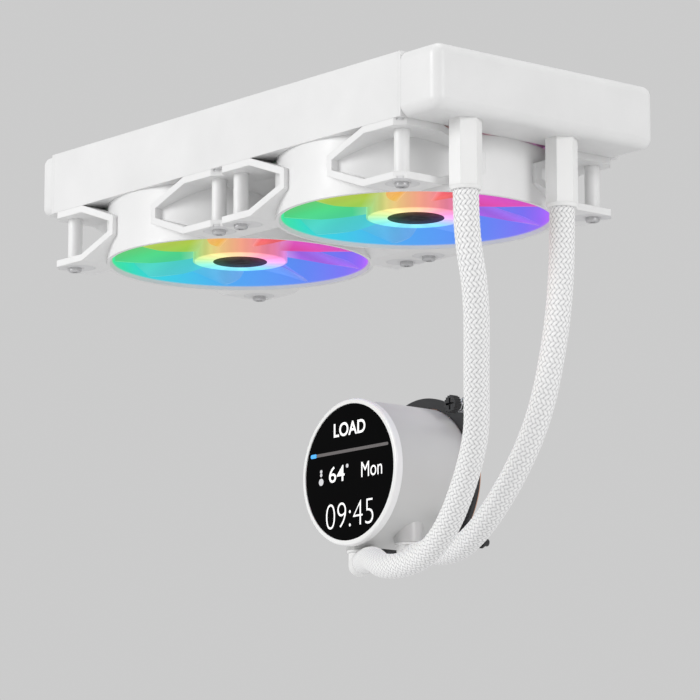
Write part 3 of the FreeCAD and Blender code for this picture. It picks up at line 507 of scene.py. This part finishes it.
BRUSHED = (1, 12, 12)    # stretches a noise along X
FINISHES = {
    "white_paint": surface("white_paint_finish", (0.80, 0.80, 0.80), 0.40, grain=1500,
                           depth=5e-5),
    "white_plastic": surface("white_plastic_finish", (0.89, 0.89, 0.885), 0.42, vary=0.04,
                             grain=3200, depth=2.5e-5),
    "aluminium_white": surface("aluminium_white_finish", (0.74, 0.74, 0.74), 0.46, grain=2200,
                               edge=0.0),
    "brass": surface("brass_finish", (0.78, 0.56, 0.26), 0.28, metallic=1.0, vary=0.16,
                     stretch=(10, 10, 1), grain=900),
    "rubber_grey": surface("rubber_grey_finish", (0.74, 0.74, 0.75), 0.68, vary=0.06, depth=5e-5,
                           sheen=0.15, specular=0.3),
    "rubber_black": surface("rubber_black_finish", (0.022, 0.022, 0.024), 0.66, vary=0.25,
                            depth=5e-5, sheen=0.1, specular=0.3),
    "frosted_blade": lit("frosted_blade_finish", 0.88, 0.46, 0.08),
    "light_diffuser": lit("light_diffuser_finish", 1.0, 0.22, 0.10, RING_RAINBOW),
    "dark_cap": dark_cap(),
    "steel": surface("steel_finish", (0.60, 0.61, 0.62), 0.30, metallic=1.0, vary=0.12,
                     stretch=BRUSHED, grain=700, depth=1.5e-5, edge=0.0002),
    "magnet": surface("magnet_finish", (0.10, 0.10, 0.105), 0.5, metallic=0.6, vary=0.2),
    "bronze": surface("bronze_finish", (0.46, 0.29, 0.14), 0.42, metallic=1.0, vary=0.2),
    "lamination": surface("lamination_finish", (0.30, 0.31, 0.33), 0.42, metallic=0.9,
                          vary=0.25, stretch=(1, 1, 30), grain=300, depth=6e-5),
    "circuit": board("circuit_finish"),
    "sleeve_white": sleeve(),
    "screw_steel": surface("screw_steel_finish", (0.64, 0.64, 0.65), 0.36, metallic=0.55,
                           vary=0.2, grain=1800, depth=2e-5, edge=0.00015),
    "bezel_white": surface("bezel_white_finish", (0.90, 0.90, 0.90), 0.20, vary=0.02, coat=0.4,
                           depth=8e-6, spread=0.03),
    "display_glass": surface("display_glass_finish", (0.0012, 0.0012, 0.0014), 0.07, vary=0.3,
                             depth=2e-6, spread=0.02, specular=0.03, edge=0.0),
    "display_panel": surface("display_panel_finish", (0.010, 0.010, 0.012), 0.35, vary=0.3),
    "black_plastic": surface("black_plastic_finish", (0.025, 0.025, 0.027), 0.45, vary=0.2),
    "copper": surface("copper_finish", (0.88, 0.50, 0.35), 0.26, metallic=1.0, vary=0.06,
                      stretch=BRUSHED, blotch=60, grain=900, depth=8e-6, spread=0.04),
    "black_steel": surface("black_steel_finish", (0.035, 0.035, 0.037), 0.44, metallic=0.3,
                           vary=0.3, grain=1600, depth=5e-5),
}
# The pump head's shell: its own light grey-white, darkened all over to 0.60 grey as painted shade.
SHADED_HEAD_SHELL = surface("head_shell_painted_shade_finish", (0.60, 0.60, 0.595), 0.32, vary=0.04, grain=3600,
                     depth=3e-6, specular=0.6, edge=0.0005, spread=0.012)
FAN_FRAME = fan_frame()
OWN_FINISHES = {"pump_housing": SHADED_HEAD_SHELL, "fan_a_frame": FAN_FRAME, "fan_b_frame": FAN_FRAME}
for name, node in nodes.items():
    for slot in node.material_slots:
        slot.material = OWN_FINISHES.get(name) or FINISHES[slot.material.name.split(".")[0]]
for hose in hoses:
    hose.data.materials.append(FINISHES["sleeve_white"])


# ---- radiator core ----
FIN_FOLD = 0.0007        # from one bend to the next
FIN_THICKNESS = 0.0001
FIN_LEVELS = 9
LOUVRE_SHIFT = 0.00012   # every other level of a fold is moved by this, each way
TUBE_COUNT = 11
TUBE_PITCH = 0.0084
TUBE_HALF = 0.001


def add_fins():
    """The folded fin strips between the flat tubes, with a louvre cut across each fold."""
    low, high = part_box("core_fins")
    gaps = [low.y]
    for i in range(TUBE_COUNT):
        y = (i - (TUBE_COUNT - 1) / 2) * TUBE_PITCH
        gaps += [y - TUBE_HALF, y + TUBE_HALF]
    gaps.append(high.y)
    folds = int((high.x - low.x) / FIN_FOLD)
    wide = folds + 1
    xs = np.linspace(low.x, high.x, wide)
    levels = np.linspace(low.z, high.z, FIN_LEVELS)
    vertices, faces = [], []
    for y0, y1 in zip(gaps[::2], gaps[1::2]):
        ys = np.where(np.arange(wide) % 2, y1 - FIN_THICKNESS / 2, y0 + FIN_THICKNESS / 2)
        start = len(vertices)
        for row, z in enumerate(levels):
            shift = LOUVRE_SHIFT if row % 2 else -LOUVRE_SHIFT
            inside = np.clip(xs + shift, low.x, high.x)
            vertices += [(x, y, z) for x, y in zip(inside, ys)]
        for row in range(len(levels) - 1):
            base = start + row * wide
            faces += [(base + i, base + i + 1, base + wide + i + 1, base + wide + i)
                      for i in range(folds)]
    mesh = bpy.data.meshes.new("fin_strips")
    mesh.from_pydata(vertices, [], faces)
    mesh.materials.append(FINISHES["aluminium_white"])
    fins = link("fin_strips", mesh)
    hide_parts("core_fins")
    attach(fins, "base")


add_fins()


# ---- springs under the bracket's screws ----
SPRING_WIRE = 0.00035
SPRING_TURNS = 4.0
SPRING_POINTS = 300
SPRING_SIDES = 10
END_CLOSING = 0.115      # how far the end turns close up


def add_spring(number):
    """A wound compression spring with closed ends."""
    node = f"bracket_spring_{number}"
    low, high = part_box(node)
    middle = (low + high) / 2
    coil = (high.x - low.x) / 2 - SPRING_WIRE
    t = np.linspace(0, 1, SPRING_POINTS)
    rise = t - END_CLOSING * np.sin(2 * np.pi * t)
    turn = 2 * np.pi * SPRING_TURNS * t
    points = np.stack([middle.x + coil * np.cos(turn),
                       low.y + SPRING_WIRE + rise * (high.y - low.y - 2 * SPRING_WIRE),
                       middle.z + coil * np.sin(turn)], axis=1)
    radii = np.full((SPRING_POINTS, SPRING_SIDES), SPRING_WIRE)
    mesh = grid_mesh(f"spring_{number}", tube_rings(points, radii))
    mesh.materials.append(FINISHES["steel"])
    spring = link(f"spring_{number}", mesh)
    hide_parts(node)
    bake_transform(spring)


for number in (1, 2, 3, 4):
    add_spring(number)


# ---- the display's picture ----
INKS = {
    "ink_white": glowing("ink_white", (0.95, 0.95, 0.95), 1.0),
    "ink_soft": glowing("ink_soft", (0.62, 0.62, 0.64), 0.9),
    "ink_grey": glowing("ink_grey", (0.11, 0.10, 0.10), 0.9),
    "ink_blue": glowing("ink_blue", (0.07, 0.42, 0.95), 1.0),
}
INK_HEIGHT = 0.00004
CAPSULE_STEPS = 13


def display_place():
    """The display's middle on the glass, towards the viewer."""
    low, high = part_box("display_glass")
    return Vector(((low.x + high.x) / 2, low.y - INK_HEIGHT, (low.z + high.z) / 2))


def finish_ink(piece, ink):
    """Gives a piece of the picture its ink and its place in the assembly."""
    piece.data.materials.clear()
    piece.data.materials.append(INKS[ink])
    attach(piece, "base")


def add_words(name, words, size, at, ink, weight=0.0):
    """Words of a width and height, centred on a point of the display."""
    text = bpy.data.curves.new(name, "FONT")
    text.body = words
    text.size = 1.0
    text.offset = weight
    carrier = bpy.data.objects.new(name + "_text", text)
    mesh = bpy.data.meshes.new_from_object(carrier)
    bpy.data.objects.remove(carrier)
    points = np.array([tuple(v.co) for v in mesh.vertices])
    low, high = points.min(axis=0), points.max(axis=0)
    scale = (size[0] / (high[0] - low[0]), size[1] / (high[1] - low[1]))
    middle = display_place()
    for vertex in mesh.vertices:
        u = (vertex.co.x - (low[0] + high[0]) / 2) * scale[0] + at[0]
        w = (vertex.co.y - (low[1] + high[1]) / 2) * scale[1] + at[1]
        vertex.co = (middle.x + u, middle.y, middle.z + w)
    mesh.name = name
    finish_ink(link(name, mesh), ink)


def outline(name, points, ink):
    """A flat shape on the display from its outline."""
    middle = display_place()
    mesh = bpy.data.meshes.new(name)
    mesh.from_pydata([(middle.x + u, middle.y, middle.z + w) for u, w in points], [],
                     [list(range(len(points)))])
    finish_ink(link(name, mesh), ink)


def capsule(u0, u1, w, half):
    """The outline of a level bar with round ends, from u0 to u1 at the height w."""
    right = [(u1 + half * math.cos(a), w + half * math.sin(a))
             for a in np.linspace(-math.pi / 2, math.pi / 2, CAPSULE_STEPS)]
    left = [(u0 + half * math.cos(a), w + half * math.sin(a))
            for a in np.linspace(math.pi / 2, 3 * math.pi / 2, CAPSULE_STEPS)]
    return right + left


def circle(u, w, radius, count=32):
    """The outline of a circle."""
    return [(u + radius * math.cos(2 * math.pi * i / count),
             w + radius * math.sin(2 * math.pi * i / count)) for i in range(count)]


# Sizes and places are across and up from the display's middle.
add_words("display_title", "LOAD", (0.0218, 0.0062), (0.0, 0.0195), "ink_white", weight=0.02)
outline("display_bar", capsule(-0.0226, 0.0258, 0.0096, 0.0007), "ink_grey")
outline("display_bar_level", capsule(-0.0262, -0.0236, 0.0096, 0.0009), "ink_blue")
outline("display_bulb", circle(-0.0197, -0.0025, 0.0016), "ink_soft")
outline("display_stem", capsule(-0.0197, -0.01965, 0.0006, 0.0008), "ink_soft")
outline("display_stem_top", capsule(-0.0197, -0.01965, 0.0022, 0.0008), "ink_soft")
add_words("display_heat", "64", (0.0108, 0.0072), (-0.0088, 0.0), "ink_white", weight=0.004)
outline("display_degree", circle(-0.0016, 0.0029, 0.0009), "ink_soft")
add_words("display_day", "Mon", (0.0142, 0.0068), (0.0152, 0.0), "ink_white")
add_words("display_clock", "09:45", (0.0325, 0.0112), (0.0, -0.0187), "ink_white",
          weight=-0.02)


# ---- floor, lights and world ----
FLOOR_LEVEL = -0.62
FLOOR_HALF = 14.0
WORLD_STRENGTH = 0.60
LIGHTS_AIM = (0.0, 0.0, -0.09)


def add_floor():
    """A plain pale floor below the hanging object."""
    mesh = bpy.data.meshes.new("floor")
    corners = [(sx * FLOOR_HALF, sy * FLOOR_HALF, FLOOR_LEVEL)
               for sx, sy in ((-1, -1), (1, -1), (1, 1), (-1, 1))]
    mesh.from_pydata(corners, [], [(0, 1, 2, 3)])
    mesh.materials.append(surface("floor_finish", (0.78, 0.78, 0.78), 0.75, vary=0.02, blotch=3,
                                  grain=400, edge=0.0))
    link("floor", mesh)


def add_light(name, place, size, power):
    """A round soft light that faces the object."""
    lamp = bpy.data.lights.new(name, "AREA")
    lamp.shape = "DISK"
    lamp.size = size
    lamp.energy = power
    light = bpy.data.objects.new(name, lamp)
    light.location = place
    light.rotation_mode = "QUATERNION"
    light.rotation_quaternion = (Vector(LIGHTS_AIM) - Vector(place)).to_track_quat("-Z", "Y")
    bpy.context.collection.objects.link(light)


def add_world():
    """An even white surround."""
    world = bpy.data.worlds.new("studio")
    world.use_nodes = True
    background = next(n for n in world.node_tree.nodes if n.type == "BACKGROUND")
    background.inputs["Color"].default_value = (1.0, 1.0, 1.0, 1.0)
    background.inputs["Strength"].default_value = WORLD_STRENGTH
    bpy.context.scene.world = world


add_floor()
add_world()
add_light("key", place=(-0.55, -1.6, 0.45), size=0.8, power=14.0)
add_light("side", place=(1.9, 0.1, 0.4), size=0.8, power=10.5)
add_light("top", place=(0.1, 0.2, 1.7), size=1.4, power=7.5)
bpy.context.scene.view_settings.view_transform = "Standard"
